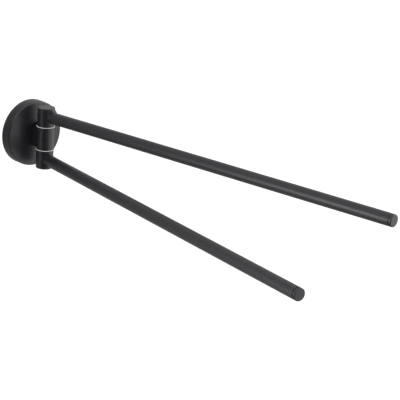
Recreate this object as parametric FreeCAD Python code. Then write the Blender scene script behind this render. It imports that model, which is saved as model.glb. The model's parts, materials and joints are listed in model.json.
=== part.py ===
"""Wall towel holder with two swinging arms, in millimetres.

+Z is up and the wall is the plane y = 0. The origin is the centre of the rosette's back face,
and the holder stands out from the wall towards -Y. The two arms turn about one upright pivot
in front of the rosette.
"""
import FreeCAD, Part
import math
import os

# Angles
FULL_TURN = 360.0
HALF_TURN = 180.0
HEXAGON_SIDES = 6
upper_arm_angle = 6.93          # from straight out of the wall, turned towards +X
lower_arm_angle = -8.56

# Clearances between pieces
seat_gap = 0.02                 # all round a piece that is pressed, screwed or pinned in its seat
running_gap = 0.05              # all round the pin in the turning bushes
washer_gap = 0.15               # all round a pin or screw in a washer's hole
joint_gap = 0.05                # between two painted pieces that meet
overrun = 1.0                   # how far a cutting solid runs past the face that it cuts
edge_tolerance = 0.01           # for picking an edge by its place

# Rosette, the round cover on the wall
rosette_radius = 33.8
rosette_rim_depth = 11.6        # wall to the rim's front corner
rosette_rim_round = 1.5
rosette_dome_rise = 1.2
rosette_wall = 2.5
rosette_floor_depth = 7.5       # wall to the inside of the front
screw_recess_room = 3.2         # beside the heads of the neck screws, in the pocket inside the front
screw_recess_roof = 2.5         # metal left between that pocket and the neck's seat
neck_let_in = 0.5               # how deep the neck's corners are let into the dome

# Bracket, the plate that the wall screws hold
bracket_gap = 0.2               # all round the bracket inside the rosette
bracket_thickness = 5.0
bracket_groove_gap = 0.2        # each side of the grub screw in the groove
bracket_groove_depth = 1.2
wall_hole_spacing = 40.0
wall_hole_radius = 2.5
wall_hole_sink_radius = 4.8
wall_hole_sink_depth = 2.3

# Grub screw that clamps the rosette on the bracket
grub_radius = 1.5
grub_recess = 0.3               # how far its outer end lies below the rim
grub_tip_radius = 0.75
grub_tip_length = 0.8
grub_socket_width = 1.5
grub_socket_depth = 1.0

# Knuckle and its neck
hinge_offset = 28.3             # wall to the pivot's centre line
knuckle_radius = 9.0
knuckle_height = 23.8
knuckle_edge = 0.3
neck_width = 7.8
neck_screw_radius = 2.0
neck_screw_grip = 8.0           # length of screw in the neck
neck_screw_spacing = 12.6
neck_screw_hole_gap = 0.2
neck_head_radius = 3.5
neck_head_height = 2.8
neck_head_edge = 0.3
neck_socket_width = 3.0
neck_socket_depth = 1.6
lock_washer_radius = 3.4
lock_washer_thickness = 0.9
lock_washer_slit = 0.6

# Pivot stack, from the knuckle outwards
pin_radius = 3.0
pin_end_length = 0.9            # how far the pin shows past its nut
pin_end_room = 1.0              # from the pin's end to the hub cap
pin_end_chamfer = 0.5
thrust_washer_radius = 9.4
thrust_washer_thickness = 0.5
hub_radius = 8.85
hub_height = 19.4
hub_end_round = 0.5
hub_foot_chamfer = 0.2
bush_wall = 1.0
nut_room = 0.7                  # all round the nut's corners inside the hub
slide_washer_side_gap = 0.3     # all round the washer inside the hub
slide_washer_thickness = 0.6
disc_spring_radius = 5.5
disc_spring_height = 1.0
disc_spring_thickness = 0.4
nut_width = 10.0                # across flats
nut_height = 4.0
nut_chamfer = 0.4
cap_ledge = 0.5                 # the step that carries the hub cap
cap_thickness = 2.0
cap_chamfer = 0.3

# Arms
arm_rise = 9.9                  # hub's foot to the arm's centre line
arm_reach = 423.4               # pivot's centre line to the arm's end face
tube_radius = 6.06              # a 12 mm tube and its coat of paint
tube_wall = 1.26
tube_end_chamfer = 0.15
spigot_length = 15.0            # out of the hub, inside the tube
set_screw_radius = 2.0
set_screw_length = 4.2
set_screw_recess = 0.3
set_screw_socket_width = 2.0
set_screw_socket_depth = 1.6
set_screw_end_gap = 0.3         # drilled deeper than the screw goes
end_cap_head = 7.0              # the part of the cap that shows
end_cap_shank = 12.0
end_cap_round = 0.8
end_cap_groove_place = 3.0      # end face to the groove's middle
end_cap_groove_width = 1.0
end_cap_groove_depth = 0.5


def dome_depth(radius):
    """Distance from the wall to the domed front, at a radius from the rosette's centre."""
    sphere = (rosette_radius ** 2 + rosette_dome_rise ** 2) / (2 * rosette_dome_rise)
    return rosette_rim_depth + rosette_dome_rise - sphere + math.sqrt(sphere ** 2 - radius ** 2)


def hexagon_corner(width):
    """Centre to corner of a hexagon, from its width across flats."""
    return width / 2 / math.cos(math.radians(HALF_TURN / HEXAGON_SIDES))


# Sizes that follow from the ones above
rosette_apex = dome_depth(0)
rosette_inner_radius = rosette_radius - rosette_wall
knuckle_top = knuckle_height / 2
neck_seat = dome_depth(math.hypot(neck_width / 2, knuckle_top)) - neck_let_in
screw_recess_depth = neck_seat - screw_recess_roof
screw_recess_radius = neck_screw_spacing / 2 + neck_head_radius + screw_recess_room
bracket_radius = rosette_inner_radius - bracket_gap
bracket_groove_width = 2 * (grub_radius + bracket_groove_gap)
hub_pocket_radius = hexagon_corner(nut_width) + nut_room
slide_washer_radius = hub_pocket_radius - slide_washer_side_gap
hub_foot = knuckle_top + thrust_washer_thickness
hub_top = hub_foot + hub_height
arm_height = hub_foot + arm_rise
cap_foot = hub_top - cap_thickness
pin_top = cap_foot - pin_end_room
nut_top = pin_top - pin_end_length
nut_foot = nut_top - nut_height
spring_foot = nut_foot - disc_spring_height
bush_top = spring_foot - slide_washer_thickness
bush_radius = pin_radius + running_gap + bush_wall
cap_radius = hub_pocket_radius + cap_ledge
tube_bore_radius = tube_radius - tube_wall
spigot_radius = tube_bore_radius - seat_gap
set_screw_place = hub_radius + spigot_length / 2
tube_end = arm_reach - end_cap_head

CENTRE = FreeCAD.Vector(0, 0, 0)
UP = FreeCAD.Vector(0, 0, 1)
OUT = FreeCAD.Vector(0, -1, 0)
PIVOT = FreeCAD.Vector(0, -hinge_offset, 0)


def upright(radius, low, high, y=0.0):
    """Solid cylinder that stands between two heights."""
    return Part.makeCylinder(radius, high - low, FreeCAD.Vector(0, y, low), UP)


def outward(radius, near, far, z=0.0):
    """Solid cylinder that points out of the wall, between two distances from the wall."""
    return Part.makeCylinder(radius, far - near, FreeCAD.Vector(0, -near, z), OUT)


def polygon(points):
    """Closed wire through the points."""
    return Part.makePolygon(points + points[:1])


def turned(wire, axis):
    """Solid that a closed wire sweeps when it turns once about an axis through the origin."""
    solid = Part.Face(wire).revolve(CENTRE, axis, FULL_TURN)
    if solid.Volume < 0:
        solid = solid.reversed()
    return solid


def turned_upright(outline):
    """Solid turned about Z from (radius, height) pairs."""
    return turned(polygon([FreeCAD.Vector(r, 0, h) for r, h in outline]), UP)


def turned_outward(outline):
    """Solid turned about the wall's normal from (radius, distance from the wall) pairs."""
    return turned(polygon([FreeCAD.Vector(r, -d, 0) for r, d in outline]), OUT)


def hexagon(width, base, direction, length):
    """Hexagonal prism, width across flats, from a base point along a direction."""
    corner = hexagon_corner(width)
    turn = FreeCAD.Rotation(UP, direction)
    points = []
    for side in range(HEXAGON_SIDES):
        angle = math.radians(FULL_TURN / HEXAGON_SIDES * side)
        flat = FreeCAD.Vector(corner * math.cos(angle), corner * math.sin(angle), 0)
        points.append(base + turn.multVec(flat))
    return Part.Face(polygon(points)).extrude(direction * length)


def box_between(low, high):
    """Box from its lowest corner to its highest."""
    size = high - low
    return Part.makeBox(size.x, size.y, size.z, low)


def is_near(value, goal):
    """Whether two places are the same, within the tolerance for picking an edge."""
    return abs(value - goal) < edge_tolerance


def edges_at_height(solid, height):
    """Edges that lie wholly at one height."""
    boxes = [(e, e.BoundBox) for e in solid.Edges]
    return [e for e, box in boxes if is_near(box.ZMin, height) and is_near(box.ZMax, height)]


def edges_at_distance(solid, distance):
    """Edges that lie wholly at one distance from the wall."""
    boxes = [(e, e.BoundBox) for e in solid.Edges]
    return [e for e, box in boxes if is_near(box.YMin, -distance) and is_near(box.YMax, -distance)]


def make_rosette_form():
    """The rosette's outer form: a short drum with a rounded rim and a gently domed front."""
    halfway = rosette_radius / 2
    back = FreeCAD.Vector(rosette_radius, 0, 0)
    corner = FreeCAD.Vector(rosette_radius, -rosette_rim_depth, 0)
    middle = FreeCAD.Vector(halfway, -dome_depth(halfway), 0)
    apex = FreeCAD.Vector(0, -rosette_apex, 0)
    wire = Part.Wire([
        Part.makeLine(CENTRE, back),
        Part.makeLine(back, corner),
        Part.Arc(corner, middle, apex).toShape(),
        Part.makeLine(apex, CENTRE),
    ])
    drum = turned(wire, OUT)
    return drum.makeFillet(rosette_rim_round, edges_at_distance(drum, rosette_rim_depth))


def neck_block(side_gap):
    """The flat neck from its seat in the dome to the pivot's centre line, grown by a gap at the sides."""
    half = neck_width / 2 + side_gap
    top = knuckle_top + side_gap
    return box_between(FreeCAD.Vector(-half, -hinge_offset, -top), FreeCAD.Vector(half, -neck_seat, top))


def neck_screw_heights():
    """Heights of the two neck screws."""
    return [-neck_screw_spacing / 2, neck_screw_spacing / 2]


def make_rosette():
    """Round cover with room inside for the bracket, a seat for the neck and a hole for the grub screw."""
    inside = turned_outward([
        (0, -overrun),
        (rosette_inner_radius, -overrun),
        (rosette_inner_radius, rosette_floor_depth),
        (screw_recess_radius, rosette_floor_depth),
        (screw_recess_radius, screw_recess_depth),
        (0, screw_recess_depth),
    ])
    cover = make_rosette_form().cut(inside).cut(neck_block(seat_gap))
    for height in neck_screw_heights():
        hole = outward(neck_screw_radius + neck_screw_hole_gap, 0, rosette_apex, z=height)
        cover = cover.cut(hole)
    grub_hole = upright(grub_radius + seat_gap, -rosette_radius - overrun, -bracket_radius,
                        y=-bracket_thickness / 2)
    return cover.cut(grub_hole)


def make_wall_bracket():
    """Round plate with a groove round its edge and two countersunk holes, one above the other."""
    groove_low = (bracket_thickness - bracket_groove_width) / 2
    groove_radius = bracket_radius - bracket_groove_depth
    plate = turned_outward([
        (0, 0),
        (bracket_radius, 0),
        (bracket_radius, groove_low),
        (groove_radius, groove_low),
        (groove_radius, bracket_thickness - groove_low),
        (bracket_radius, bracket_thickness - groove_low),
        (bracket_radius, bracket_thickness),
        (0, bracket_thickness),
    ])
    sink_floor = bracket_thickness - wall_hole_sink_depth
    for height in (-wall_hole_spacing / 2, wall_hole_spacing / 2):
        hole = outward(wall_hole_radius, -overrun, bracket_thickness + overrun, z=height)
        sink = Part.makeCone(wall_hole_radius, wall_hole_sink_radius, wall_hole_sink_depth,
                             FreeCAD.Vector(0, -sink_floor, height), OUT)
        plate = plate.cut(hole).cut(sink)
    return plate


def make_rosette_grub_screw():
    """Headless screw in the rosette's lower edge, its tip on the bottom of the bracket's groove."""
    outer_end = -rosette_radius + grub_recess
    tip_end = -bracket_radius + bracket_groove_depth
    shoulder = tip_end - grub_tip_length
    screw = turned_upright([
        (0, outer_end),
        (grub_radius, outer_end),
        (grub_radius, shoulder),
        (grub_tip_radius, tip_end),
        (0, tip_end),
    ])
    socket = hexagon(grub_socket_width, FreeCAD.Vector(0, 0, outer_end), UP, grub_socket_depth)
    screw = screw.cut(socket)
    screw.translate(FreeCAD.Vector(0, -bracket_thickness / 2, 0))
    return screw


def make_knuckle():
    """Upright barrel with its neck, bored for the pin and drilled for the neck screws."""
    barrel = upright(knuckle_radius, -knuckle_top, knuckle_top, y=-hinge_offset)
    body = barrel.fuse(neck_block(0.0)).removeSplitter()
    rim_edges = []
    for height in (-knuckle_top, knuckle_top):
        rim_edges += edges_at_height(body, height)
    outside = [e for e in rim_edges if e.BoundBox.YLength > edge_tolerance]
    body = body.makeChamfer(knuckle_edge, outside)
    body = body.cut(upright(pin_radius + seat_gap, -knuckle_height, knuckle_height, y=-hinge_offset))
    for height in neck_screw_heights():
        hole = outward(neck_screw_radius + seat_gap, 0, neck_seat + neck_screw_grip, z=height)
        body = body.cut(hole)
    return body


def make_neck_screw(height):
    """Socket screw from inside the rosette into the neck."""
    head_foot = screw_recess_depth - lock_washer_thickness
    head_top = head_foot - neck_head_height
    shank_end = neck_seat + neck_screw_grip - neck_head_edge
    screw = turned_outward([
        (0, head_top),
        (neck_head_radius - neck_head_edge, head_top),
        (neck_head_radius, head_top + neck_head_edge),
        (neck_head_radius, head_foot),
        (neck_screw_radius, head_foot),
        (neck_screw_radius, shank_end - neck_head_edge),
        (neck_screw_radius - neck_head_edge, shank_end),
        (0, shank_end),
    ])
    socket = hexagon(neck_socket_width, FreeCAD.Vector(0, -head_top, 0), OUT, neck_socket_depth)
    screw = screw.cut(socket)
    screw.translate(FreeCAD.Vector(0, 0, height))
    return screw


def make_lock_washer(height):
    """Split spring washer between a neck screw's head and the rosette."""
    near = screw_recess_depth - lock_washer_thickness
    far = screw_recess_depth
    ring = outward(lock_washer_radius, near, far, z=height)
    hole = outward(neck_screw_radius + washer_gap, near - overrun, far + overrun, z=height)
    slit = box_between(
        FreeCAD.Vector(0, -far - overrun, height - lock_washer_slit / 2),
        FreeCAD.Vector(lock_washer_radius + overrun, -near + overrun, height + lock_washer_slit / 2),
    )
    return ring.cut(hole).cut(slit)


def make_pivot_pin():
    """Steel pin through the knuckle and both hubs, with chamfered ends."""
    neck = pin_radius - pin_end_chamfer
    shoulder = pin_top - pin_end_chamfer
    return turned_upright([
        (0, -pin_top),
        (neck, -pin_top),
        (pin_radius, -shoulder),
        (pin_radius, shoulder),
        (neck, pin_top),
        (0, pin_top),
    ])


def make_ring(outer, inner, low, high):
    """Flat ring about the pivot."""
    return turned_upright([(inner, low), (outer, low), (outer, high), (inner, high)])


def make_thrust_washer():
    """White ring between the knuckle and a hub."""
    return make_ring(thrust_washer_radius, pin_radius + washer_gap, knuckle_top, hub_foot)


def make_slide_washer():
    """Steel ring on the seat inside the hub, on which the hub turns."""
    return make_ring(slide_washer_radius, pin_radius + washer_gap, bush_top, spring_foot)


def make_disc_spring():
    """Conical spring washer between the slide washer and the nut."""
    inner = pin_radius + washer_gap
    return turned_upright([
        (disc_spring_radius, spring_foot),
        (disc_spring_radius, spring_foot + disc_spring_thickness),
        (inner, nut_foot),
        (inner, nut_foot - disc_spring_thickness),
    ])


def make_lock_nut():
    """Hexagon nut on the pin's end, its corners chamfered above and below."""
    corner = hexagon_corner(nut_width)
    prism = hexagon(nut_width, FreeCAD.Vector(0, 0, nut_foot), UP, nut_height)
    inner = pin_radius + seat_gap
    envelope = turned_upright([
        (inner, nut_foot),
        (corner - nut_chamfer, nut_foot),
        (corner, nut_foot + nut_chamfer),
        (corner, nut_top - nut_chamfer),
        (corner - nut_chamfer, nut_top),
        (inner, nut_top),
    ])
    return prism.common(envelope)


def along_arm(radius, near, far):
    """Solid cylinder along the upper arm's centre line, before the arm is turned."""
    return outward(radius, near, far, z=arm_height)


def make_hub():
    """Round hub with a spigot for the tube, bored for its bush and pocketed for the nut."""
    hub = turned_upright([
        (0, hub_foot),
        (hub_radius - hub_foot_chamfer, hub_foot),
        (hub_radius, hub_foot + hub_foot_chamfer),
        (hub_radius, hub_top),
        (0, hub_top),
    ])
    hub = hub.makeFillet(hub_end_round, edges_at_height(hub, hub_top))
    hub = hub.fuse(along_arm(spigot_radius, 0, hub_radius + spigot_length))
    hub = hub.cut(upright(bush_radius + seat_gap, hub_foot - overrun, hub_top))
    hub = hub.cut(upright(hub_pocket_radius, bush_top, hub_top))
    return hub.cut(upright(cap_radius, cap_foot, hub_top + overrun))


def make_hub_bush():
    """Plain bearing bush in the hub."""
    return make_ring(bush_radius, pin_radius + running_gap, hub_foot, bush_top)


def make_hub_cap():
    """Disc that closes the hub's open end."""
    edge = cap_radius - seat_gap
    return turned_upright([
        (0, cap_foot),
        (edge, cap_foot),
        (edge, hub_top - cap_chamfer),
        (edge - cap_chamfer, hub_top),
        (0, hub_top),
    ])


def make_tube():
    """Straight tube, hollowed at one end to fit round the hub."""
    tube = along_arm(tube_radius, 0, tube_end)
    tube = tube.makeChamfer(tube_end_chamfer, edges_at_distance(tube, tube_end))
    tube = tube.cut(along_arm(tube_bore_radius, -overrun, tube_end + overrun))
    return tube.cut(upright(hub_radius + joint_gap, hub_foot - overrun, hub_top + overrun))


def set_screw_ends(facing):
    """Heights of the set screw's outer and inner end, for an arm whose underside faces down or up."""
    outer = arm_height + facing * (tube_radius - set_screw_recess)
    return outer, outer - facing * set_screw_length


def make_set_screw(facing):
    """Headless screw in the tube's underside that holds the tube on the spigot."""
    outer, inner = set_screw_ends(facing)
    screw = upright(set_screw_radius, min(outer, inner), max(outer, inner), y=-set_screw_place)
    start = FreeCAD.Vector(0, -set_screw_place, outer)
    socket = hexagon(set_screw_socket_width, start, UP * -facing, set_screw_socket_depth)
    return screw.cut(socket)


def drill_for_set_screw(piece, facing):
    """The piece with the set screw's hole in its underside."""
    outer, inner = set_screw_ends(facing)
    start = outer + facing * overrun
    end = inner - facing * set_screw_end_gap
    hole = upright(set_screw_radius + seat_gap, min(start, end), max(start, end), y=-set_screw_place)
    return piece.cut(hole)


def make_end_cap():
    """Cap with a shank in the tube, a fine groove round it and a rounded outer edge."""
    groove_near = arm_reach - end_cap_groove_place - end_cap_groove_width / 2
    groove_far = groove_near + end_cap_groove_width
    groove_radius = tube_radius - end_cap_groove_depth
    cap = turned_outward([
        (0, tube_end - end_cap_shank),
        (spigot_radius, tube_end - end_cap_shank),
        (spigot_radius, tube_end),
        (tube_radius - tube_end_chamfer, tube_end),
        (tube_radius, tube_end + tube_end_chamfer),
        (tube_radius, groove_near),
        (groove_radius, groove_near),
        (groove_radius, groove_far),
        (tube_radius, groove_far),
        (tube_radius, arm_reach),
        (0, arm_reach),
    ])
    cap = cap.makeFillet(end_cap_round, edges_at_distance(cap, arm_reach))
    cap.translate(FreeCAD.Vector(0, 0, arm_height))
    return cap


def arm_pieces(facing):
    """The pieces of one arm above the knuckle, pointing straight out of the wall from the pivot."""
    return {
        "hub": drill_for_set_screw(make_hub(), facing),
        "hub_bush": make_hub_bush(),
        "hub_cap": make_hub_cap(),
        "tube": drill_for_set_screw(make_tube(), facing),
        "tube_set_screw": make_set_screw(facing),
        "end_cap": make_end_cap(),
    }


def place_arm(solid, angle, below):
    """The piece on its own side of the knuckle, swung to its arm's angle about the pivot."""
    placed = solid.copy()
    if below:
        placed.rotate(CENTRE, OUT, HALF_TURN)
    placed.rotate(CENTRE, UP, angle)
    placed.translate(PIVOT)
    return placed


def stack_pieces():
    """The pieces that sit round the pin on each side of the knuckle, in their own order."""
    return {
        "thrust_washer": make_thrust_washer(),
        "slide_washer": make_slide_washer(),
        "disc_spring": make_disc_spring(),
        "lock_nut": make_lock_nut(),
    }


def make_parts():
    """Every sub-part under its node's name."""
    parts = {
        "wall_bracket": make_wall_bracket(),
        "rosette": make_rosette(),
        "rosette_grub_screw": make_rosette_grub_screw(),
        "knuckle": make_knuckle(),
        "neck_screws": Part.makeCompound([make_neck_screw(h) for h in neck_screw_heights()]),
        "neck_lock_washers": Part.makeCompound([make_lock_washer(h) for h in neck_screw_heights()]),
    }
    pin = make_pivot_pin()
    pin.translate(PIVOT)
    parts["pivot_pin"] = pin
    sides = [("upper", upper_arm_angle, False), ("lower", lower_arm_angle, True)]
    for side, angle, below in sides:
        for name, solid in stack_pieces().items():
            parts[side + "_" + name] = place_arm(solid, 0.0, below)
        facing = 1 if below else -1
        for name, solid in arm_pieces(facing).items():
            parts[side + "_" + name] = place_arm(solid, angle, below)
    return parts


os.makedirs("parts", exist_ok=True)
for name, shape in make_parts().items():
    shape.exportStep("parts/" + name + ".step")
    print(name, "solids", len(shape.Solids), "valid", shape.isValid(), "volume", round(shape.Volume, 1))
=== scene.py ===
# %% [markdown]
# # A wall towel holder with two swinging arms
#
# This lesson dresses a finished engineering model of a towel holder, so that it looks like the
# painted metal one in a product picture. The engineering model gives every piece its place and
# size. Here each piece that shows is built again as a clean, smooth mesh with soft edges, and
# gets its finish. Everything is in metres, with the wall at y = 0 and the arms reaching towards
# -Y.
#
# The first cell loads the engineering model as a fixed frame.

# %% Load the frame
import bpy
import bmesh
import json
import math
from mathutils import Matrix, Vector


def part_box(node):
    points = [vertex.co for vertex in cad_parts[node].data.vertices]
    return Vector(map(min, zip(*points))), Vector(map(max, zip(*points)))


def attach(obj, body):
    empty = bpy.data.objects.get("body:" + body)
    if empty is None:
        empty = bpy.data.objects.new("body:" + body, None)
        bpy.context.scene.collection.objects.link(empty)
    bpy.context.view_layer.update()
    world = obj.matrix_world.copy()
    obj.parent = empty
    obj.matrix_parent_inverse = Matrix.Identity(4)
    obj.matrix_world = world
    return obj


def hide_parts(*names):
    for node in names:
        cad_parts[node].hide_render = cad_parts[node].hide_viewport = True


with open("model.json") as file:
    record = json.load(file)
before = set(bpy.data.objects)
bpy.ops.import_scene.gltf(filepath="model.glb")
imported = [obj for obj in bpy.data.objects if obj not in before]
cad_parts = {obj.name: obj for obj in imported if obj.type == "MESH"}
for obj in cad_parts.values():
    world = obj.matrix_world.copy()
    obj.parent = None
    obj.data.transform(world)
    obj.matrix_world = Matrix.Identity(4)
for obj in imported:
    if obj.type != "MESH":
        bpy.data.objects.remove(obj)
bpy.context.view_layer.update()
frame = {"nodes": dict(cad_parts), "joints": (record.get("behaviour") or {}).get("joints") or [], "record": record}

# %% [markdown]
# ## Where things are
#
# Both arms turn about one upright line, the pivot. The frame's joints say where it is and how far
# each arm swings. An arm that has swung as far as it can lies flat along the wall, which is 90
# degrees from straight out, so the arm's angle at rest is 90 degrees less the swing that is left.

# %% The pivot and the arms' angles
SIDES = ("upper", "lower")
LOW = 0
HIGH = 1
JOINTS = {joint["name"]: joint for joint in frame["joints"]}
PIVOT = Vector(JOINTS["upper_arm_swing"]["pos_m"])
ALONG_WALL = 90.0


def rest_angle(side):
    """Angle of an arm at rest, in radians, from straight out of the wall."""
    return math.radians(ALONG_WALL - JOINTS[side + "_arm_swing"]["range_deg"][HIGH])


for side in SIDES:
    print(side, "arm stands at", round(math.degrees(rest_angle(side)), 2), "degrees")

# %% [markdown]
# ## The camera
#
# The picture was taken with a long lens, from the left and a little above, with the camera tipped
# a few degrees to one side. The camera is placed from the pivot: so far away, and so much to the
# side and above, that the pivot lands on its own pixel of the picture. With a long lens the near
# ends of the arms look only a little larger than their far ends, as they do in a catalogue shot.

# %% Camera
PICTURE_SIDE = 400
PIVOT_PIXEL = (45.4, 137.4)
FOCAL_PIXELS = 1771.0
SENSOR = 36.0
CAMERA_DISTANCE = 1.8053
CAMERA_AZIMUTH = math.radians(-44.82)
CAMERA_ELEVATION = math.radians(18.08)
CAMERA_ROLL = math.radians(3.82)


def make_camera():
    """Long-lens camera that sees the pivot on its own pixel."""
    back = Vector((
        math.sin(CAMERA_AZIMUTH) * math.cos(CAMERA_ELEVATION),
        -math.cos(CAMERA_AZIMUTH) * math.cos(CAMERA_ELEVATION),
        math.sin(CAMERA_ELEVATION),
    ))
    level_right = Vector((math.cos(CAMERA_AZIMUTH), math.sin(CAMERA_AZIMUTH), 0))
    roll = Matrix.Rotation(CAMERA_ROLL, 3, back)
    right = roll @ level_right
    up = back.cross(right)
    half = PICTURE_SIDE / 2
    pixel = CAMERA_DISTANCE / FOCAL_PIXELS
    across, down = PIVOT_PIXEL
    aside = right * (across - half) * pixel
    above = up * (half - down) * pixel
    data = bpy.data.cameras.new("long_lens")
    data.sensor_width = SENSOR
    data.lens = FOCAL_PIXELS * SENSOR / PICTURE_SIDE
    camera = bpy.data.objects.new("long_lens", data)
    camera.rotation_mode = "QUATERNION"
    camera.rotation_quaternion = Matrix((right, up, back)).transposed().to_quaternion()
    camera.location = PIVOT - aside - above + back * CAMERA_DISTANCE
    bpy.context.scene.collection.objects.link(camera)
    bpy.context.scene.camera = camera
    return camera


camera = make_camera()
print("camera at", [round(value, 3) for value in camera.location])
print("lens", round(camera.data.lens, 1), "mm")

# %% [markdown]
# ## Sizes of the pieces
#
# Heights come from the frame's boxes, because a flat face lies exactly on its box. Radii are
# named here, as round pieces in the frame are made of short flats and their boxes come out a
# little small. One millimetre has a name, so that small sizes read as a maker would say them.

# %% Sizes
MM = 0.001
TURN_STEPS = 96
ROSETTE_RADIUS = 33.8 * MM
ROSETTE_WALL = 2.5 * MM
ROSETTE_RIM_DEPTH = 11.6 * MM
ROSETTE_FLOOR_DEPTH = 7.5 * MM
KNUCKLE_RADIUS = 9.0 * MM
NECK_HALF_WIDTH = 3.9 * MM
HUB_RADIUS = 8.85 * MM
PIN_HOLE_RADIUS = 3.05 * MM
WASHER_RADIUS = 9.4 * MM
TUBE_RADIUS = 6.06 * MM
TUBE_WALL = 1.26 * MM
END_CAP_HEAD = 7.0 * MM
TUBE_GAP = 0.05 * MM

HUB_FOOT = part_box("upper_hub")[LOW].z
HUB_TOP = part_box("upper_hub")[HIGH].z
CAP_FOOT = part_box("upper_hub_cap")[LOW].z
KNUCKLE_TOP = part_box("knuckle")[HIGH].z
NECK_SEAT = -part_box("knuckle")[HIGH].y
ROSETTE_APEX = -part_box("rosette")[LOW].y
tube_low, tube_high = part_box("upper_tube")
ARM_HEIGHT = (tube_low.z + tube_high.z) / 2
print("hub", round(HUB_FOOT / MM, 2), "to", round(HUB_TOP / MM, 2), "mm")
print("arm at", round(ARM_HEIGHT / MM, 2), "mm")

# %% [markdown]
# ## Turning pieces like a lathe
#
# Nearly every piece here was turned on a lathe, so one helper turns them. It takes the outline of
# half a section, as pairs of a radius and a height, joins the points with edges and spins them
# once round the Z axis. Points on the axis fall on each other in the spin, and merging them closes
# the pole.
#
# A turned edge is never knife sharp. Another helper finds a ring of edges by its radius and height
# and bevels it, which catches a thin line of light as a real broken edge does. How an edge is
# broken is a pair of its own: how wide the bevel is, and in how many facets it turns. A clamped
# bevel stops at the next points, where those are nearer than it is wide.

# %% Lathe and edge breaking
MERGE = 0.001 * MM
NEAR = 0.01 * MM
UP = Vector((0, 0, 1))


def turned(outline, closed=False, steps=TURN_STEPS):
    """Mesh in making that is turned about Z from (radius, height) pairs."""
    bm = bmesh.new()
    verts = [bm.verts.new((radius, 0, height)) for radius, height in outline]
    edges = [bm.edges.new(pair) for pair in zip(verts, verts[1:])]
    if closed:
        edges.append(bm.edges.new((verts[-1], verts[0])))
    bmesh.ops.spin(bm, geom=verts + edges, cent=(0, 0, 0), axis=UP, angle=math.tau,
                   steps=steps, use_merge=True)
    bmesh.ops.remove_doubles(bm, verts=bm.verts, dist=MERGE)
    bmesh.ops.recalc_face_normals(bm, faces=bm.faces)
    return bm


def on_ring(vert, radius, height):
    """Whether a point lies on the ring with that radius and height."""
    return abs(vert.co.xy.length - radius) < NEAR and abs(vert.co.z - height) < NEAR


def bevel(bm, edges, width, facets, clamped=True):
    """Rounds edges by a bevel of a width, in so many facets."""
    bmesh.ops.bevel(bm, geom=edges, offset=width, offset_type="OFFSET", affect="EDGES",
                    segments=facets, profile=0.5, material=-1, clamp_overlap=clamped)


def break_edges(bm, rings):
    """Bevels rings of edges, each given as (radius, height, (width, facets))."""
    for radius, height, (width, facets) in rings:
        ring = [edge for edge in bm.edges if all(on_ring(vert, radius, height) for vert in edge.verts)]
        bevel(bm, ring, width, facets)


print("one turn has", TURN_STEPS, "steps")

# %% [markdown]
# ## From mesh to finished piece
#
# A piece keeps its place in its mesh, with its object at the origin, so that a pattern on Object
# coordinates has one scale and one direction on every piece. Each piece is moved there while it
# is still a mesh in making. Round faces are shaded smooth, and edges that turn sharply are marked
# sharp. Weighted normals keep wide flat faces flat, so that only the narrow bevels carry the turn
# of the light.
#
# A last helper carves a piece with a second solid, as a drill or a cutter does, or joins that solid
# on. The Boolean's result is kept as the piece's own mesh, so no live Boolean is left behind.

# %% Making a piece
SHARP_ANGLE = math.radians(40)


def shade(mesh):
    """Smooth shading with true sharp edges."""
    mesh.shade_smooth()
    mesh.set_sharp_from_angle(angle=SHARP_ANGLE)


def make_object(name, bm):
    """Object in the scene from a mesh in making, which is used up."""
    mesh = bpy.data.meshes.new(name)
    bm.to_mesh(mesh)
    bm.free()
    thing = bpy.data.objects.new(name, mesh)
    bpy.context.scene.collection.objects.link(thing)
    return thing


def make_piece(name, bm, place, body, node):
    """Piece from a mesh in making, put in place, riding on its body and standing for its node."""
    bmesh.ops.transform(bm, matrix=place, verts=bm.verts)
    bmesh.ops.recalc_face_normals(bm, faces=bm.faces)
    piece = make_object(name, bm)
    shade(piece.data)
    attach(piece, body)
    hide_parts(node)
    print(name, "has", len(piece.data.polygons), "faces")
    return piece


def keep_flats_flat(piece):
    """Weighted normals, for a piece with wide flat faces."""
    weighted = piece.modifiers.new("flat_faces", "WEIGHTED_NORMAL")
    weighted.keep_sharp = True


def carve(piece, bm, operation="DIFFERENCE"):
    """Cuts a second solid out of a piece, or joins it on, and keeps the result as the piece's mesh."""
    bmesh.ops.recalc_face_normals(bm, faces=bm.faces)
    tool = make_object("tool", bm)
    tool_mesh = tool.data
    tool_mesh.shade_smooth()
    cut = piece.modifiers.new("carve", "BOOLEAN")
    cut.operation = operation
    cut.solver = "EXACT"
    cut.object = tool
    bpy.context.view_layer.update()
    evaluated = piece.evaluated_get(bpy.context.evaluated_depsgraph_get())
    carved = bpy.data.meshes.new_from_object(evaluated)
    old = piece.data
    piece.modifiers.remove(cut)
    piece.data = carved
    carved.name = old.name
    bpy.data.meshes.remove(old)
    bpy.data.objects.remove(tool)
    bpy.data.meshes.remove(tool_mesh)
    shade(carved)


# %% [markdown]
# ## Directions
#
# The lathe turns about Z. A rosette or a tube lies along the wall's normal instead, so a quarter
# turn about X tips Z over to -Y, out of the wall. The lower arm is the upper one turned half
# round, which puts its hub's closed end below.

# %% Placing helpers
DRILL_STEPS = TURN_STEPS // 2
OUT_OF_WALL = Matrix.Rotation(math.radians(90), 4, "X")
HALF_ROUND = Matrix.Rotation(math.radians(180), 4, "Y")


def at_arm(side, along_tube=False):
    """Where a piece of an arm goes: on its side of the knuckle, swung to the arm's angle."""
    place = Matrix.Translation((0, 0, ARM_HEIGHT)) @ OUT_OF_WALL if along_tube else Matrix.Identity(4)
    if side == "lower":
        place = HALF_ROUND @ place
    return Matrix.Translation(PIVOT) @ Matrix.Rotation(rest_angle(side), 4, "Z") @ place


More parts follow.
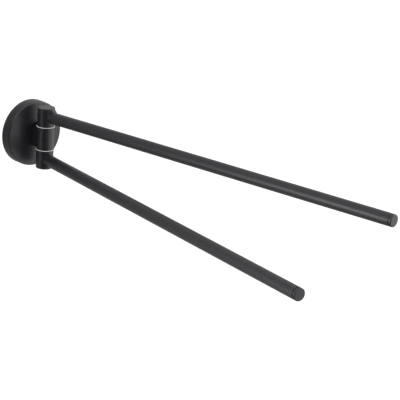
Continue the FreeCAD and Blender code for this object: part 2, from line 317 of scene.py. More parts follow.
def at_pivot(side):
    """Where a ring round the pivot goes, above or below the knuckle."""
    return Matrix.Translation(PIVOT) @ (HALF_ROUND if side == "lower" else Matrix.Identity(4))


def drill(radius, low, high, centre=(0, 0)):
    """Upright round cutter between two heights."""
    bm = bmesh.new()
    middle = Matrix.Translation((*centre, (low + high) / 2))
    bmesh.ops.create_cone(bm, cap_ends=True, segments=DRILL_STEPS, radius1=radius, radius2=radius,
                          depth=high - low, matrix=middle)
    return bm


print("arms turn about", [round(value, 3) for value in at_arm("upper").translation])

# %% [markdown]
# ## The rosette
#
# The rosette is the round cover that hides the wall plate. On the real one it is a turned brass or
# zinc cup with a lightly rounded rim. Its front is nearly flat: it rises by little more than a
# millimetre to the middle. Even so, each part of it mirrors a slightly different part of the room,
# so it doesn't look like one flat grey.
#
# Its section is a few straight runs and one long arc, turned once round. The arc's points come
# from a circle through the rim and the middle. Then the seat for the neck and the hole for the
# small screw under the rim are carved out.

# %% Rosette
ROSETTE_STEPS = 2 * TURN_STEPS
DOME_RINGS = 24
RIM_ROUND = (1.5 * MM, 10)
BACK_EDGE = (0.3 * MM, 3)
NECK_GAP = 0.12 * MM
GRUB_HOLE_RADIUS = 1.52 * MM
GRUB_DRILL_START = -1.2 * ROSETTE_RADIUS
SCREW_RECESS_RADIUS = 13.0 * MM
SCREW_RECESS_DEPTH = -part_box("neck_lock_washers")[LOW].y


def dome_arc():
    """(radius, depth) pairs along the domed front, from the rim to the middle."""
    rise = ROSETTE_APEX - ROSETTE_RIM_DEPTH
    sphere = (ROSETTE_RADIUS ** 2 + rise ** 2) / (2 * rise)
    widest = math.asin(ROSETTE_RADIUS / sphere)
    points = []
    for ring in range(DOME_RINGS + 1):
        angle = widest * (1 - ring / DOME_RINGS)
        points.append((sphere * math.sin(angle), ROSETTE_APEX - sphere + sphere * math.cos(angle)))
    return points


def make_rosette():
    """Domed cup with room inside for the bracket and the screw heads."""
    inner = ROSETTE_RADIUS - ROSETTE_WALL
    outline = [
        (0, SCREW_RECESS_DEPTH),
        (SCREW_RECESS_RADIUS, SCREW_RECESS_DEPTH),
        (SCREW_RECESS_RADIUS, ROSETTE_FLOOR_DEPTH),
        (inner, ROSETTE_FLOOR_DEPTH),
        (inner, 0),
        (ROSETTE_RADIUS, 0),
    ]
    bm = turned(outline + dome_arc(), steps=ROSETTE_STEPS)
    break_edges(bm, [(ROSETTE_RADIUS, ROSETTE_RIM_DEPTH, RIM_ROUND), (ROSETTE_RADIUS, 0, BACK_EDGE)])
    rosette = make_piece("rosette_cover", bm, OUT_OF_WALL, "wall_mount", "rosette")
    # The seat's cutter starts at the neck's end and reaches well out of the front.
    seat = bmesh.new()
    size = (2 * (NECK_HALF_WIDTH + NECK_GAP), 2 * ROSETTE_APEX, 2 * (KNUCKLE_TOP + NECK_GAP))
    middle = Matrix.Translation((0, -NECK_SEAT - ROSETTE_APEX, 0))
    bmesh.ops.create_cube(seat, size=1, matrix=middle @ Matrix.Diagonal((*size, 1)))
    carve(rosette, seat)
    grub_low, grub_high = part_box("rosette_grub_screw")
    screw_line = (0, (grub_low.y + grub_high.y) / 2)
    carve(rosette, drill(GRUB_HOLE_RADIUS, GRUB_DRILL_START, grub_high.z, screw_line))
    keep_flats_flat(rosette)
    return rosette


rosette = make_rosette()

# %% [markdown]
# ## The knuckle
#
# The knuckle is one casting: an upright barrel with a flat neck that ends in the rosette. A
# cylinder is cut by two upright planes at the neck's sides, and the strip of its wall between them
# is pulled out as far as the seat.

# %% Barrel and neck
LEVEL_COSINE = 0.99
IN_LINE_ANGLE = math.radians(1)


def is_level(face):
    """Whether a face looks straight up or down."""
    return abs(face.normal.z) > LEVEL_COSINE


def make_knuckle():
    """Barrel with its neck, before it is bored."""
    bm = bmesh.new()
    bmesh.ops.create_cone(bm, cap_ends=True, segments=TURN_STEPS, radius1=KNUCKLE_RADIUS,
                          radius2=KNUCKLE_RADIUS, depth=2 * KNUCKLE_TOP)
    for sign in (-1, 1):
        bmesh.ops.bisect_plane(bm, geom=bm.verts[:] + bm.edges[:] + bm.faces[:], dist=MERGE,
                               plane_co=(sign * NECK_HALF_WIDTH, 0, 0), plane_no=(1, 0, 0))
    strip = [face for face in bm.faces if not is_level(face) and face.calc_center_median().y > 0
             and abs(face.calc_center_median().x) < NECK_HALF_WIDTH]
    pulled = bmesh.ops.extrude_face_region(bm, geom=strip)
    bmesh.ops.delete(bm, geom=strip, context="FACES")
    for vert in pulled["geom"]:
        if isinstance(vert, bmesh.types.BMVert):
            vert.co.y = -NECK_SEAT - PIVOT.y
    bmesh.ops.dissolve_limit(bm, angle_limit=IN_LINE_ANGLE, verts=bm.verts, edges=bm.edges)
    return bm


knuckle_bm = make_knuckle()
print("barrel and neck have", len(knuckle_bm.faces), "faces")

# %% [markdown]
# ## The knuckle's edges and its bore
#
# A casting has no sharp inner corners. Those beside the neck are filled with a curve that is wider
# than one facet of the barrel, so its bevel isn't clamped, and then the outline's edges are broken
# above and below. Last the barrel is bored for the pin, by replacing its two ends with rings that
# reach from the outline to the bore.

# %% Knuckle
NECK_CORNER = (0.8 * MM, 4)
KNUCKLE_EDGE = (0.3 * MM, 3)
HEIGHT_DIGITS = 6


def is_neck_corner(edge):
    """Whether an edge stands upright in a corner between the barrel and the neck."""
    first, second = (vert.co for vert in edge.verts)
    upright = abs(first.z - second.z) > KNUCKLE_TOP
    on_barrel = abs(first.xy.length - KNUCKLE_RADIUS) < NEAR
    at_side = abs(abs(first.x) - NECK_HALF_WIDTH) < NEAR
    return upright and on_barrel and at_side and first.y > 0


def is_rim(edge):
    """Whether an edge lies between an end and the wall round it."""
    levels = [is_level(face) for face in edge.link_faces]
    return any(levels) and not all(levels)


def round_knuckle(bm):
    """Fills the corners beside the neck, and breaks the outline's edges above and below."""
    bevel(bm, [edge for edge in bm.edges if is_neck_corner(edge)], *NECK_CORNER, clamped=False)
    bevel(bm, [edge for edge in bm.edges if is_rim(edge)], *KNUCKLE_EDGE, clamped=False)


def bore_knuckle(bm):
    """Replaces each end with a ring from the outline to the bore, and joins the two by the bore's wall."""
    ends = [face for face in bm.faces if is_level(face)]
    outlines = {round(face.calc_center_median().z, HEIGHT_DIGITS): face.edges[:] for face in ends}
    bmesh.ops.delete(bm, geom=ends, context="FACES_ONLY")
    bores = []
    for height, outline in outlines.items():
        made = bmesh.ops.create_circle(bm, cap_ends=False, segments=TURN_STEPS, radius=PIN_HOLE_RADIUS,
                                       matrix=Matrix.Translation((0, 0, height)))
        bore = list({edge for vert in made["verts"] for edge in vert.link_edges})
        bmesh.ops.bridge_loops(bm, edges=outline + bore)
        bores += bore
    bmesh.ops.bridge_loops(bm, edges=bores)


round_knuckle(knuckle_bm)
bore_knuckle(knuckle_bm)
knuckle = make_piece("knuckle_and_neck", knuckle_bm, Matrix.Translation(PIVOT), "wall_mount", "knuckle")
keep_flats_flat(knuckle)

# %% [markdown]
# ## The white washers
#
# Between the knuckle and each hub lies a thin nylon ring, so that paint never rubs on paint. It is
# about half a millimetre wider than the hub all round, and that narrow white line is the brightest
# thing on the whole holder.

# %% Thrust washers
WASHER_EDGE = (0.12 * MM, 3)


def make_washer(side):
    """Thin ring with rounded rims."""
    outline = [
        (PIN_HOLE_RADIUS, KNUCKLE_TOP),
        (WASHER_RADIUS, KNUCKLE_TOP),
        (WASHER_RADIUS, HUB_FOOT),
        (PIN_HOLE_RADIUS, HUB_FOOT),
    ]
    bm = turned(outline, closed=True)
    break_edges(bm, [(WASHER_RADIUS, KNUCKLE_TOP, WASHER_EDGE), (WASHER_RADIUS, HUB_FOOT, WASHER_EDGE)])
    node = side + "_thrust_washer"
    washer = make_piece(side + "_nylon_ring", bm, at_pivot(side), "wall_mount", node)
    keep_flats_flat(washer)
    return washer


washers = [make_washer(side) for side in SIDES]

# %% [markdown]
# ## The hubs and their caps
#
# A hub is a short round block with a pocket in its far end for the nut, which a flat cap closes.
# The far edge is lightly rounded and the foot, next to the white ring, is broken even less. The
# spigot that carries the tube is a round rod of its own, joined on.

# %% Hubs
HUB_END_ROUND = (0.5 * MM, 6)
HUB_FOOT_EDGE = (0.2 * MM, 2)
CAP_HOLE_EDGE = (0.1 * MM, 2)
BUSH_HOLE_RADIUS = 4.07 * MM
NUT_POCKET_RADIUS = 6.47 * MM
CAP_HOLE_RADIUS = 6.97 * MM
SPIGOT_RADIUS = 4.75 * MM
SPIGOT_LENGTH = 15.0 * MM
BUSH_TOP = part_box("upper_hub_bush")[HIGH].z


def make_hub(side):
    """Hub with its bore, its pocket and its spigot."""
    outline = [
        (BUSH_HOLE_RADIUS, HUB_FOOT),
        (HUB_RADIUS, HUB_FOOT),
        (HUB_RADIUS, HUB_TOP),
        (CAP_HOLE_RADIUS, HUB_TOP),
        (CAP_HOLE_RADIUS, CAP_FOOT),
        (NUT_POCKET_RADIUS, CAP_FOOT),
        (NUT_POCKET_RADIUS, BUSH_TOP),
        (BUSH_HOLE_RADIUS, BUSH_TOP),
    ]
    bm = turned(outline, closed=True)
    break_edges(bm, [
        (HUB_RADIUS, HUB_TOP, HUB_END_ROUND),
        (HUB_RADIUS, HUB_FOOT, HUB_FOOT_EDGE),
        (CAP_HOLE_RADIUS, HUB_TOP, CAP_HOLE_EDGE),
    ])
    hub = make_piece(side + "_hub_block", bm, at_arm(side), side + "_arm", side + "_hub")
    middle_of_wall = (HUB_RADIUS + NUT_POCKET_RADIUS) / 2
    spigot = drill(SPIGOT_RADIUS, middle_of_wall, HUB_RADIUS + SPIGOT_LENGTH)
    bmesh.ops.transform(spigot, matrix=at_arm(side, along_tube=True), verts=spigot.verts)
    carve(hub, spigot, "UNION")
    keep_flats_flat(hub)
    return hub


CAP_EDGE = (0.3 * MM, 3)
CAP_RADIUS = 6.93 * MM


def make_hub_cap(side):
    """Flat disc with a broken edge."""
    outline = [(0, CAP_FOOT), (CAP_RADIUS, CAP_FOOT), (CAP_RADIUS, HUB_TOP), (0, HUB_TOP)]
    bm = turned(outline)
    break_edges(bm, [(CAP_RADIUS, HUB_TOP, CAP_EDGE)])
    cap = make_piece(side + "_hub_disc", bm, at_arm(side), side + "_arm", side + "_hub_cap")
    keep_flats_flat(cap)
    return cap


hubs = [make_hub(side) for side in SIDES]
hub_caps = [make_hub_cap(side) for side in SIDES]

# %% [markdown]
# ## The tubes
#
# Each arm is a plain round tube. Where it meets the round hub its end is cut hollow, like a pipe
# that is fitted to another pipe. The tube is turned as a ring in section, and each point of its
# inner end is then slid along the tube until it lies just off the hub's round wall.
#
# Smooth shading spreads the turn of a corner over the faces beside it, and on a long tube those
# faces are very long. So one more ring of points lies near each end, and the faces between the
# two rings stay straight in shape and in shade.

# %% Tubes
ARM_REACH = 423.4 * MM
TUBE_END = ARM_REACH - END_CAP_HEAD
TUBE_END_EDGE = (0.06 * MM, 2)
INNER_RING = 25 * MM
OUTER_RING = TUBE_END - 0.2 * MM
SET_SCREW_HOLE_RADIUS = 2.02 * MM


def hub_wall_at(offset):
    """Distance from the pivot to just off the hub's wall, so far to the side of the arm's middle."""
    return math.sqrt((HUB_RADIUS + TUBE_GAP) ** 2 - offset ** 2)


def make_tube(side):
    """Tube with one end cut to the hub, and a hole below for its set screw."""
    bore = TUBE_RADIUS - TUBE_WALL
    outline = [
        (bore, 0),
        (TUBE_RADIUS, 0),
        (TUBE_RADIUS, INNER_RING),
        (TUBE_RADIUS, OUTER_RING),
        (TUBE_RADIUS, TUBE_END),
        (bore, TUBE_END),
        (bore, INNER_RING),
    ]
    bm = turned(outline, closed=True)
    break_edges(bm, [(TUBE_RADIUS, TUBE_END, TUBE_END_EDGE)])
    for vert in bm.verts:
        if abs(vert.co.z) < NEAR:
            vert.co.z = hub_wall_at(vert.co.x)
    node = side + "_tube"
    tube = make_piece(side + "_arm_tube", bm, at_arm(side, along_tube=True), side + "_arm", node)
    screw_low, screw_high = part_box(side + "_tube_set_screw")
    middle = (screw_low + screw_high) / 2
    carve(tube, drill(SET_SCREW_HOLE_RADIUS, middle.z - TUBE_RADIUS, middle.z + TUBE_WALL, middle.xy))
    return tube


tubes = [make_tube(side) for side in SIDES]

# %% [markdown]
# ## The end caps
#
# A turned cap closes each tube. A fine groove runs round it three millimetres from its face, and
# the groove's two edges catch a spark of light in the picture. So the groove is cut for real and
# its edges are broken, instead of being painted on.

# %% End caps
END_FACE_ROUND = (0.8 * MM, 5)
GROOVE_PLACE = 3.0 * MM
GROOVE_WIDTH = 1.0 * MM
GROOVE_DEPTH = 0.5 * MM
GROOVE_EDGE = (0.3 * MM, 4)
SHANK_LENGTH = 12.0 * MM


def make_end_cap(side):
    """Cap with its shank, its groove and a rounded face."""
    groove_near = ARM_REACH - GROOVE_PLACE - GROOVE_WIDTH / 2
    groove_far = groove_near + GROOVE_WIDTH
    floor = TUBE_RADIUS - GROOVE_DEPTH
    outline = [
        (0, TUBE_END - SHANK_LENGTH),
        (SPIGOT_RADIUS, TUBE_END - SHANK_LENGTH),
        (SPIGOT_RADIUS, TUBE_END),
        (TUBE_RADIUS, TUBE_END),
        (TUBE_RADIUS, groove_near),
        (floor, groove_near),
        (floor, groove_far),
        (TUBE_RADIUS, groove_far),
        (TUBE_RADIUS, ARM_REACH),
        (0, ARM_REACH),
    ]
    bm = turned(outline)
    break_edges(bm, [
        (TUBE_RADIUS, ARM_REACH, END_FACE_ROUND),
        (TUBE_RADIUS, TUBE_END, TUBE_END_EDGE),
        (TUBE_RADIUS, groove_near, GROOVE_EDGE),
        (TUBE_RADIUS, groove_far, GROOVE_EDGE),
    ])
    place = at_arm(side, along_tube=True)
    cap = make_piece(side + "_arm_end", bm, place, side + "_arm", side + "_end_cap")
    keep_flats_flat(cap)
    return cap


end_caps = [make_end_cap(side) for side in SIDES]

# %% [markdown]
# ## Finishes
#
# A small kit of helpers keeps the finishes readable. Each finish is a Principled shader. Patterns
# come from noise on Object coordinates, so their grain has a real size in millimetres wherever the
# piece lies. Noise keeps mostly to the middle of its range, so that stretch of it is the one that
# is spread over the wanted values. Plain numbers, such as a specular level, are set on the
# shader's own sockets.

# %% Shader helpers
NOISE_MIDDLE = (0.3, 0.7)


def new_finish(name):
    """Material with its Principled shader and an Object coordinate."""
    finish = bpy.data.materials.new(name)
    finish.use_nodes = True
    nodes = finish.node_tree.nodes
    shader = nodes["Principled BSDF"]
    place = nodes.new("ShaderNodeTexCoord")
    return finish, shader, place.outputs["Object"]


def noise(finish, place, size, detail=2.0, roughness=0.5):
    """Noise whose lumps are about so large, as a value from 0 to 1."""
    node = finish.node_tree.nodes.new("ShaderNodeTexNoise")
    node.inputs["Scale"].default_value = 1 / size
    node.inputs["Detail"].default_value = detail
    node.inputs["Roughness"].default_value = roughness
    finish.node_tree.links.new(place, node.inputs["Vector"])
    return node.outputs["Fac"]


def spread(finish, value, low, high):
    """Maps the middle stretch of a noise value onto a range."""
    node = finish.node_tree.nodes.new("ShaderNodeMapRange")
    node.inputs["From Min"].default_value, node.inputs["From Max"].default_value = NOISE_MIDDLE
    node.inputs["To Min"].default_value = low
    node.inputs["To Max"].default_value = high
    finish.node_tree.links.new(value, node.inputs["Value"])
    return node.outputs["Result"]


def blend_colours(finish, value, first, second):
    """Colour between two others, by a value from 0 to 1."""
    node = finish.node_tree.nodes.new("ShaderNodeMix")
    node.data_type = "RGBA"
    node.inputs["A"].default_value = (*first, 1)
    node.inputs["B"].default_value = (*second, 1)
    finish.node_tree.links.new(value, node.inputs["Factor"])
    return node.outputs["Result"]


def bumps(finish, value, height, under=None):
    """Normal that a height pattern gives, for bumps so high in metres, on top of others if given."""
    node = finish.node_tree.nodes.new("ShaderNodeBump")
    node.inputs["Distance"].default_value = height
    finish.node_tree.links.new(value, node.inputs["Height"])
    if under:
        finish.node_tree.links.new(under, node.inputs["Normal"])
    return node.outputs["Normal"]


print("helpers ready")

# %% [markdown]
# ## Satin black paint
#
# The holder is painted a satin black. Baked paint isn't perfectly smooth: it pulls into low
# pebbles a little under a millimetre wide, like orange peel, and has a much finer grain on top.
# Both are only microns high, so they never show as bumps, but they soften and slightly break up
# every reflection.

# %% Black paint
PAINT_DARK = (0.0127, 0.0112, 0.0138)
PAINT_LIGHT = (0.0152, 0.0135, 0.0163)
PAINT_CLOUDS = {"size": 22 * MM, "detail": 3}
PEEL = {"size": 0.9 * MM, "detail": 1}
PEEL_HEIGHT = 0.0035 * MM
GRAIN = {"size": 0.14 * MM, "detail": 2, "roughness": 0.6}
GRAIN_HEIGHT = 0.0012 * MM
PAINT_ROUGHNESS = (0.32, 0.38)
PAINT_SPECULAR = 0.5


def make_black_paint():
    """Satin black with orange peel and a fine grain."""
    finish, shader, place = new_finish("satin_black_paint")
    link = finish.node_tree.links.new
    clouds = spread(finish, noise(finish, place, **PAINT_CLOUDS), 0, 1)
    link(blend_colours(finish, clouds, PAINT_DARK, PAINT_LIGHT), shader.inputs["Base Color"])
    peel = noise(finish, place, **PEEL)
    grain = noise(finish, place, **GRAIN)
    link(spread(finish, grain, *PAINT_ROUGHNESS), shader.inputs["Roughness"])
    coarse = bumps(finish, peel, PEEL_HEIGHT)
    link(bumps(finish, grain, GRAIN_HEIGHT, under=coarse), shader.inputs["Normal"])
    shader.inputs["Specular IOR Level"].default_value = PAINT_SPECULAR
    return finish


black_paint = make_black_paint()
print(black_paint.name)

# %% [markdown]
# ## White nylon
#
# Nylon lets a little light in before it sends it back, which makes a thin white ring look soft and
# milky and not like painted metal. A little subsurface light with a short reach does that.

# %% White nylon
NYLON_WHITE = (0.87, 0.87, 0.85)
NYLON_SHADE = (0.80, 0.80, 0.78)
NYLON_CLOUDS = {"size": 3 * MM, "detail": 3}
NYLON_SHEEN = {"size": 0.3 * MM}
NYLON_ROUGHNESS = (0.42, 0.52)
NYLON_PORES = {"size": 0.4 * MM}
NYLON_PORE_HEIGHT = 0.004 * MM
NYLON_GLOW = 0.25
NYLON_GLOW_REACH = 0.6 * MM
ALL_COLOURS_ALIKE = (1.0, 1.0, 1.0)


def make_nylon():
    """Milky white plastic."""
    finish, shader, place = new_finish("white_nylon")
    link = finish.node_tree.links.new
    clouds = spread(finish, noise(finish, place, **NYLON_CLOUDS), 0, 1)
    link(blend_colours(finish, clouds, NYLON_SHADE, NYLON_WHITE), shader.inputs["Base Color"])
    sheen = noise(finish, place, **NYLON_SHEEN)
    link(spread(finish, sheen, *NYLON_ROUGHNESS), shader.inputs["Roughness"])
    pores = noise(finish, place, **NYLON_PORES)
    link(bumps(finish, pores, NYLON_PORE_HEIGHT), shader.inputs["Normal"])
    shader.inputs["Subsurface Weight"].default_value = NYLON_GLOW
    shader.inputs["Subsurface Scale"].default_value = NYLON_GLOW_REACH
    shader.inputs["Subsurface Radius"].default_value = ALL_COLOURS_ALIKE
    return finish


nylon = make_nylon()
print(nylon.name)

# %% [markdown]
# ## Metals inside and behind
#
# The steel pin, washers, nuts and screws are turned or stamped, with fine tool marks. The wall
# plate is zinc plated, which shows a cloudy, faintly blue and yellow sheen. The bushes are bronze
# with tiny pores. They hardly show, but an arm that swings or a look from behind finds them.

# %% Metals
CLOUD_TO_MARK = 12
METAL_CLOUD_DETAIL = 4
METAL_MARK_DETAIL = 3


def make_metal(name, dark, light, roughness, mark_size, mark_height):
    """Metal with cloudy colour, uneven gloss and fine tool marks."""
    finish, shader, place = new_finish(name)
    link = finish.node_tree.links.new
    clouds = noise(finish, place, CLOUD_TO_MARK * mark_size, detail=METAL_CLOUD_DETAIL)
    link(blend_colours(finish, spread(finish, clouds, 0, 1), dark, light), shader.inputs["Base Color"])
    marks = noise(finish, place, mark_size, detail=METAL_MARK_DETAIL)
    link(spread(finish, marks, *roughness), shader.inputs["Roughness"])
    link(bumps(finish, marks, mark_height), shader.inputs["Normal"])
    shader.inputs["Metallic"].default_value = 1.0
    return finish


steel = make_metal("turned_steel", dark=(0.50, 0.50, 0.51), light=(0.62, 0.62, 0.62),
                   roughness=(0.22, 0.36), mark_size=0.25 * MM, mark_height=0.002 * MM)
zinc = make_metal("zinc_plate", dark=(0.50, 0.52, 0.55), light=(0.66, 0.66, 0.62),
                  roughness=(0.30, 0.46), mark_size=0.6 * MM, mark_height=0.003 * MM)
bronze = make_metal("sintered_bronze", dark=(0.42, 0.25, 0.12), light=(0.58, 0.38, 0.20),
                    roughness=(0.38, 0.55), mark_size=0.2 * MM, mark_height=0.006 * MM)
black_oxide = make_metal("black_oxide_steel", dark=(0.030, 0.030, 0.034), light=(0.055, 0.054, 0.056),
                         roughness=(0.32, 0.46), mark_size=0.25 * MM, mark_height=0.002 * MM)
print([metal.name for metal in (steel, zinc, bronze, black_oxide)])

# %% [markdown]
# ## Giving every piece its finish
#
# The record of the engineering model names a finish for each node, and the new pieces follow the
# same names. A piece gets one material for all its faces. The engineering nodes that still show
# get theirs the same way.

# %% Put the finishes on
FINISHES = {
    "black_paint": black_paint,
    "white_nylon": nylon,
    "plain_steel": steel,
    "dark_steel": black_oxide,
    "zinc_plate": zinc,
    "bronze": bronze,
}


def dress(piece, slot):
    """One finish on all of a piece."""
    piece.data.materials.clear()
    piece.data.materials.append(FINISHES[slot])


for piece in [rosette, knuckle] + hubs + hub_caps + tubes + end_caps:
    dress(piece, "black_paint")
for washer in washers:
    dress(washer, "white_nylon")
for row in frame["record"]["subparts"]:
    dress(frame["nodes"][row["node"]], row["material_slot"])
print("finished", len(frame["nodes"]), "nodes and", len(FINISHES), "finishes")

# %% [markdown]
# ## Sums in a material
#
# The room round the holder is painted with light and shade that fade from one place to another.
# Blender's maths nodes work that out from coordinates. The first helper here feeds a node's
# sockets, with numbers, vectors or other nodes' results. The others each add one node.

# %% Maths helpers


def feed(link, sockets, values):
    """Links each value that is another node's result to its socket, and sets the rest as they are."""
    for socket, value in zip(sockets, values):
        if isinstance(value, bpy.types.NodeSocket):
            link(value, socket)
        else:
            socket.default_value = value


def formula(nodes, link, operation, *values):
    """Result of one sum on numbers."""
    node = nodes.new("ShaderNodeMath")
    node.operation = operation
    feed(link, node.inputs, values)
    return node.outputs["Value"]


def vector_formula(nodes, link, operation, *values):
    """Node that does one sum on vectors, with a vector and a number as its results."""
    node = nodes.new("ShaderNodeVectorMath")
    node.operation = operation
    feed(link, node.inputs, values)
    return node


def fade(nodes, link, value, start, end, low=0.0, high=1.0):
    """Number that goes softly from low to high while a value goes from start to end."""
    node = nodes.new("ShaderNodeMapRange")
    node.interpolation_type = "SMOOTHSTEP"
    feed(link, node.inputs, (value, start, end, low, high))
    return node.outputs["Result"]


print("sums ready")

# %% [markdown]
# ## The floor
#
# The picture has a plain white ground. The floor is pale and lies well below the holder, as the
# holder hangs on a wall. It keeps the holder's soft shadow, and a glow that only the camera sees
# lifts it to white. The lamps light the floor less and less with distance, so that glow grows a
# little farther out.

# %% Floor
FLOOR_HEIGHT = -0.45
FLOOR_SIZE = 6.0
FLOOR_COLOUR = (0.5, 0.5, 0.5)
NEAR_LIFT = 0.6
FAR_LIFT = 0.74
LIFT_FADE = (0.8, 1.4)


def make_floor():
    """Pale floor that the camera sees as white, with the holder's soft shadow on it."""
    bm = bmesh.new()
    bmesh.ops.create_grid(bm, x_segments=1, y_segments=1, size=FLOOR_SIZE / 2,
                          matrix=Matrix.Translation((0, 0, FLOOR_HEIGHT)))
    floor = make_object("floor", bm)
    floor.visible_glossy = False
    return floor


def make_floor_finish():
    """Matt pale ground that glows for the camera until it is just white, near the lamps and far off."""
    finish = bpy.data.materials.new("pale_floor")
    finish.use_nodes = True
    nodes = finish.node_tree.nodes
    link = finish.node_tree.links.new
    nodes.clear()
    matt = nodes.new("ShaderNodeBsdfDiffuse")
    matt.inputs["Color"].default_value = (*FLOOR_COLOUR, 1)
    place = nodes.new("ShaderNodeTexCoord").outputs["Object"]
    distance = vector_formula(nodes, link, "LENGTH", place).outputs["Value"]
    lift = fade(nodes, link, distance, *LIFT_FADE, NEAR_LIFT, FAR_LIFT)
    path = nodes.new("ShaderNodeLightPath")
    lift_seen = formula(nodes, link, "MULTIPLY", lift, path.outputs["Is Camera Ray"])
    glow = nodes.new("ShaderNodeEmission")
    glow.inputs["Color"].default_value = (1, 1, 1, 1)
    add = nodes.new("ShaderNodeAddShader")
    out = nodes.new("ShaderNodeOutputMaterial")
    link(lift_seen, glow.inputs["Strength"])
    link(matt.outputs["BSDF"], add.inputs[0])
    link(glow.outputs["Emission"], add.inputs[1])
    link(add.outputs["Shader"], out.inputs["Surface"])
    return finish


floor = make_floor()
floor.data.materials.append(make_floor_finish())
print("floor at", FLOOR_HEIGHT)

# %% [markdown]
# ## The world
#
# The camera sees the world as pure white too. The light that it gives is kept at a level at which a
# colour comes out about as it is written.
#
# Black paint is drawn by what it mirrors far more than by its own colour, so the mirrored room is
# described with care. A round tube that comes towards the camera mirrors only what lies behind it,
# and a flat face mirrors one small patch in front. The world is therefore dark on the left, where
# the camera stands and a studio is dark, and white on the far side and to the right.

# %% World
SOFT_LIGHT = (0.6, 0.6, 0.62)
STUDIO_DARK = (0.03, 0.03, 0.034)
STUDIO_WHITE = (1.38, 1.36, 1.38)
DARK_SIDE = Vector((-0.98, -0.18, -0.10)).normalized()
ALL_DARK_WITHIN = math.radians(35)
ALL_WHITE_BEYOND = math.radians(105)


def mirrored_room(nodes, link):
    """Colour that a mirror ray finds in its own direction: dark on one side, white on the other."""
    direction = nodes.new("ShaderNodeTexCoord").outputs["Generated"]
    facing = vector_formula(nodes, link, "DOT_PRODUCT", direction, DARK_SIDE).outputs["Value"]
    dark = fade(nodes, link, facing, math.cos(ALL_WHITE_BEYOND), math.cos(ALL_DARK_WITHIN))
    colour = nodes.new("ShaderNodeMix")
    colour.data_type = "RGBA"
    colour.inputs["A"].default_value = (*STUDIO_WHITE, 1)
    colour.inputs["B"].default_value = (*STUDIO_DARK, 1)
    link(dark, colour.inputs["Factor"])
    return colour.outputs["Result"]


def make_world():
    """White for the camera, the mirrored room for mirror rays, and soft grey light for the rest."""
    world = bpy.data.worlds.new("studio")
    bpy.context.scene.world = world
    world.use_nodes = True
    nodes = world.node_tree.nodes
    link = world.node_tree.links.new
    nodes.clear()
    seen = nodes.new("ShaderNodeBackground")
    seen.inputs["Color"].default_value = (1, 1, 1, 1)
    light = nodes.new("ShaderNodeBackground")
    light.inputs["Color"].default_value = (*SOFT_LIGHT, 1)
    mirrored = nodes.new("ShaderNodeBackground")
    link(mirrored_room(nodes, link), mirrored.inputs["Color"])
    path = nodes.new("ShaderNodeLightPath")
    rays = (path.outputs["Is Glossy Ray"], path.outputs["Is Transmission Ray"])
    either = formula(nodes, link, "MAXIMUM", *rays)
    not_camera = nodes.new("ShaderNodeMixShader")
    link(either, not_camera.inputs["Fac"])
    link(light.outputs["Background"], not_camera.inputs[1])
    link(mirrored.outputs["Background"], not_camera.inputs[2])
    mix = nodes.new("ShaderNodeMixShader")
    link(path.outputs["Is Camera Ray"], mix.inputs["Fac"])
    link(not_camera.outputs["Shader"], mix.inputs[1])
    link(seen.outputs["Background"], mix.inputs[2])
    out = nodes.new("ShaderNodeOutputWorld")
    link(mix.outputs["Shader"], out.inputs["Surface"])
    return world


world = make_world()
bpy.context.scene.view_settings.view_transform = "Standard"
print("world", world.name, "has", len(world.node_tree.nodes), "nodes")

# %% [markdown]
# ## The mirrored wall
#
# The tubes come towards the camera, so along their whole length they mirror the wall behind them.
# A wall close by isn't the same everywhere, and its light and shade are painted into the card's
# glow. Far to the left, where the big lamp would shine on it, it has a painted bright glow with a
# wider and weaker one below. Higher up it is a little brighter than lower down. Left of the
# rosette it has a painted shade, where the rosette's own shade would fall, and on the upper right
# a faint painted glow. So the outer ends of the arms mirror its bright part and carry a streak of
# light, and their inner ends stay dark.
#
# A card that only mirror rays can see plays that wall. The camera looks through it, and it casts no
# shadow. Each patch of light or shade on it is given as its strength, its middle and how far it
# reaches along X, Y and Z.

# %% Wall card
CARD_HALF = 2.5
CARD_BEHIND = 0.003
CARD_GREY = 0.46
CARD_RISE = 0.77
CARD_RISE_HEIGHT = 0.5
# Painted patches of light and shade on the card, each as strength, middle and reach.
LAMP_GLOW = (7.2, (-1.03, 0.0, 0.055), (0.38, 1.0, 0.26))
WIDE_GLOW = (3.0, (-1.03, 0.0, -0.33), (0.44, 1.0, 0.37))
# Painted shade where the rosette's shadow would fall on the wall.
OWN_SHADE = (-0.25, (-0.064, 0.0, 0.0), (0.035, 1.0, 0.10))
UPPER_GLOW = (0.27, (0.045, 0.0, 0.06), (0.05, 1.0, 0.05))
CARD_TINT = (0.98, 0.98, 1.0)


def soft_patch(nodes, link, place, middle, reach):
    """Value that is 1 in the middle of a soft round patch and fades out within its reach."""
    from_middle = vector_formula(nodes, link, "SUBTRACT", place, middle).outputs["Vector"]
    scaled = vector_formula(nodes, link, "DIVIDE", from_middle, reach).outputs["Vector"]
    square = vector_formula(nodes, link, "DOT_PRODUCT", scaled, scaled).outputs["Value"]
    falling = formula(nodes, link, "MULTIPLY", square, -1.0)
    return formula(nodes, link, "EXPONENT", falling)


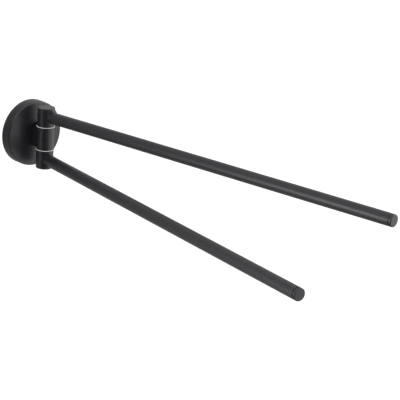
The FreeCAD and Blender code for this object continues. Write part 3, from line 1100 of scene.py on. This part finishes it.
def make_card_finish():
    """Painted glow of the wall: grey, brighter with height, with soft painted patches of light and shade."""
    finish = bpy.data.materials.new("wall_glow")
    finish.use_nodes = True
    nodes = finish.node_tree.nodes
    link = finish.node_tree.links.new
    nodes.clear()
    place = nodes.new("ShaderNodeTexCoord").outputs["Object"]
    parts = nodes.new("ShaderNodeSeparateXYZ")
    link(place, parts.inputs["Vector"])
    height = formula(nodes, link, "MAXIMUM", parts.outputs["Z"], 0.0)
    height = formula(nodes, link, "MINIMUM", height, CARD_RISE_HEIGHT)
    strength = formula(nodes, link, "MULTIPLY_ADD", height, CARD_RISE, CARD_GREY)
    for amount, middle, reach in (LAMP_GLOW, WIDE_GLOW, OWN_SHADE, UPPER_GLOW):
        patch = soft_patch(nodes, link, place, middle, reach)
        strength = formula(nodes, link, "MULTIPLY_ADD", patch, amount, strength)
    glow = nodes.new("ShaderNodeEmission")
    glow.inputs["Color"].default_value = (*CARD_TINT, 1)
    link(strength, glow.inputs["Strength"])
    out = nodes.new("ShaderNodeOutputMaterial")
    link(glow.outputs["Emission"], out.inputs["Surface"])
    return finish


def make_card():
    """Upright card just behind the rosette, which only mirror rays see."""
    bm = bmesh.new()
    upright = Matrix.Translation((0, CARD_BEHIND, 0)) @ OUT_OF_WALL
    bmesh.ops.create_grid(bm, x_segments=1, y_segments=1, size=CARD_HALF, matrix=upright)
    card = make_object("wall_card", bm)
    card.visible_camera = False
    card.visible_diffuse = False
    card.visible_shadow = False
    return card


card = make_card()
card.data.materials.append(make_card_finish())
print("card behind the rosette by", CARD_BEHIND / MM, "mm")

# %% [markdown]
# ## Lamps
#
# Two large soft panels of about the same strength light the holder. The key stands high on the
# left. The fill stands lower on the right and keeps the far sides from going flat.

# %% Lamps


def make_panel(name, place, aim, size, power):
    """Soft rectangular lamp at a place, facing a point."""
    data = bpy.data.lights.new(name, "AREA")
    data.shape = "RECTANGLE"
    data.size, data.size_y = size
    data.energy = power
    lamp = bpy.data.objects.new(name, data)
    lamp.location = place
    lamp.rotation_mode = "QUATERNION"
    lamp.rotation_quaternion = (Vector(aim) - Vector(place)).to_track_quat("-Z", "Y")
    bpy.context.scene.collection.objects.link(lamp)
    return lamp


LAMP_AIM = (0, -0.2, 0)
KEY_PLACE = (-1.2, -0.6, 1.3)
KEY_SIZE = (0.9, 0.9)
KEY_POWER = 12
FILL_PLACE = (1.4, -0.8, 0.5)
FILL_SIZE = (0.8, 1.2)
FILL_POWER = 14
key = make_panel("key_panel", KEY_PLACE, LAMP_AIM, KEY_SIZE, KEY_POWER)
fill = make_panel("fill_panel", FILL_PLACE, LAMP_AIM, FILL_SIZE, FILL_POWER)
print([lamp.name for lamp in (key, fill)])

# %% [markdown]
# ## The end

# %% Finish
print("scene built")
